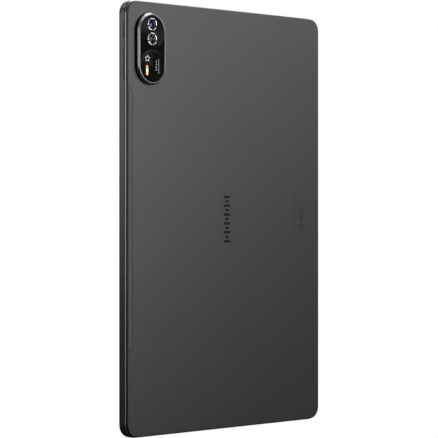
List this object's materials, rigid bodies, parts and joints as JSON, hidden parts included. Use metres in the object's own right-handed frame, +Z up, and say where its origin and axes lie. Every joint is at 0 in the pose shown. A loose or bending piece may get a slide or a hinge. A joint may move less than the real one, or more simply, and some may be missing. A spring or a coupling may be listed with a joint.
{
  "type": "tablet computer",
  "caption": "Slim portrait tablet computer with a glass front, a metal back with a raised pill-shaped camera island, sprung side keys and a sliding card tray.",
  "frame": {"origin": "middle of the lower short edge's box: half the width, the mid-plane of the casing, at the lowest face", "axes": "+Z up the long side to the camera end; +Y out of the metal back; -Y out of the screen; +X towards the long edge with the power and volume keys"},
  "size_m": [0.1689, 0.01, 0.257],
  "materials": {
    "grey_aluminium": "bead-blasted, anodised dark grey",
    "polished_metal": "polished and diamond-turned",
    "tinned_steel": "tinned sheet",
    "antenna_copper": "plain etched foil",
    "grey_plastic": "satin, close to the housing's colour",
    "black_plastic": "fine matt",
    "black_glass": "back-printed black, polished face",
    "clear_glass": "clear, polished",
    "light_guide": "acrylic light guide and white films",
    "display_black": "dark panel, switched off",
    "circuit_board": "solder resist over glass-fibre board",
    "chip_resin": "moulded resin",
    "polyimide_flex": "amber film",
    "battery_foil": "black-laminated pouch foil",
    "led_phosphor": "phosphor-coated",
    "card_plastic": "card stock"
  },
  "bodies": {
    "tablet": {"rear_housing": "grey_aluminium", "antenna_window": "grey_plastic", "bezel_frame": "black_plastic", "cover_glass": "black_glass", "lcd_panel": "display_black", "backlight_unit": "light_guide", "front_camera_housing": "chip_resin", "front_camera_lens": "clear_glass", "camera_island_ring": "polished_metal", "camera_island_glass": "black_glass", "lens_ring_upper": "polished_metal", "lens_ring_lower": "polished_metal", "lens_window_upper": "clear_glass", "lens_window_lower": "clear_glass", "main_camera_housing": "chip_resin", "second_camera_housing": "chip_resin", "second_camera_barrel": "black_plastic", "flash_window": "clear_glass", "flash_board": "circuit_board", "flash_led_warm": "led_phosphor", "flash_led_cool": "led_phosphor", "power_switch": "tinned_steel", "volume_down_switch": "tinned_steel", "volume_up_switch": "tinned_steel", "key_flex": "polyimide_flex", "sim_socket": "tinned_steel", "main_board": "circuit_board", "sub_board": "circuit_board", "processor_chip": "chip_resin", "memory_chip": "chip_resin", "power_chip": "chip_resin", "processor_shield": "tinned_steel", "radio_shield": "tinned_steel", "usb_c_shell": "tinned_steel", "usb_c_tongue": "black_plastic", "link_flex": "polyimide_flex", "display_flex": "polyimide_flex", "battery_cell_left": "battery_foil", "battery_cell_right": "battery_foil", "battery_protection_board": "circuit_board", "speaker_lower_left": "black_plastic", "speaker_lower_right": "black_plastic", "speaker_upper_left": "black_plastic", "speaker_upper_right": "black_plastic", "microphone_lower": "tinned_steel", "microphone_upper": "tinned_steel", "antenna_cable": "black_plastic", "wifi_antenna": "antenna_copper", "cellular_antenna": "antenna_copper", "screw_1": "tinned_steel", "screw_2": "tinned_steel", "screw_3": "tinned_steel", "screw_4": "tinned_steel"},
    "power_key": {"power_key": "grey_aluminium"},
    "volume_key": {"volume_key": "grey_aluminium"},
    "sim_tray": {"sim_tray": "grey_aluminium", "sim_card": "card_plastic"},
    "focus_barrel": {"main_camera_barrel": "black_plastic"}
  },
  "joints": [
    {"name": "power_key_press", "type": "slide", "parent": "tablet", "child": "power_key", "axis": [-1, 0, 0], "range_m": [0, 0.00025], "stiffness_N_per_m": 3000},
    {"name": "volume_key_rock", "type": "hinge", "parent": "tablet", "child": "volume_key", "pos_m": [0.0821, -0.0001, 0.2192], "axis": [0, 1, 0], "range_deg": [-2, 2], "stiffness_Nm_per_rad": 0.08},
    {"name": "sim_tray_slide", "type": "slide", "parent": "tablet", "child": "sim_tray", "axis": [-1, 0, 0], "range_m": [0, 0.026]},
    {"name": "focus_travel", "type": "slide", "parent": "tablet", "child": "focus_barrel", "axis": [0, 1, 0], "range_m": [0, 0.0003], "stiffness_N_per_m": 200}
  ]
}
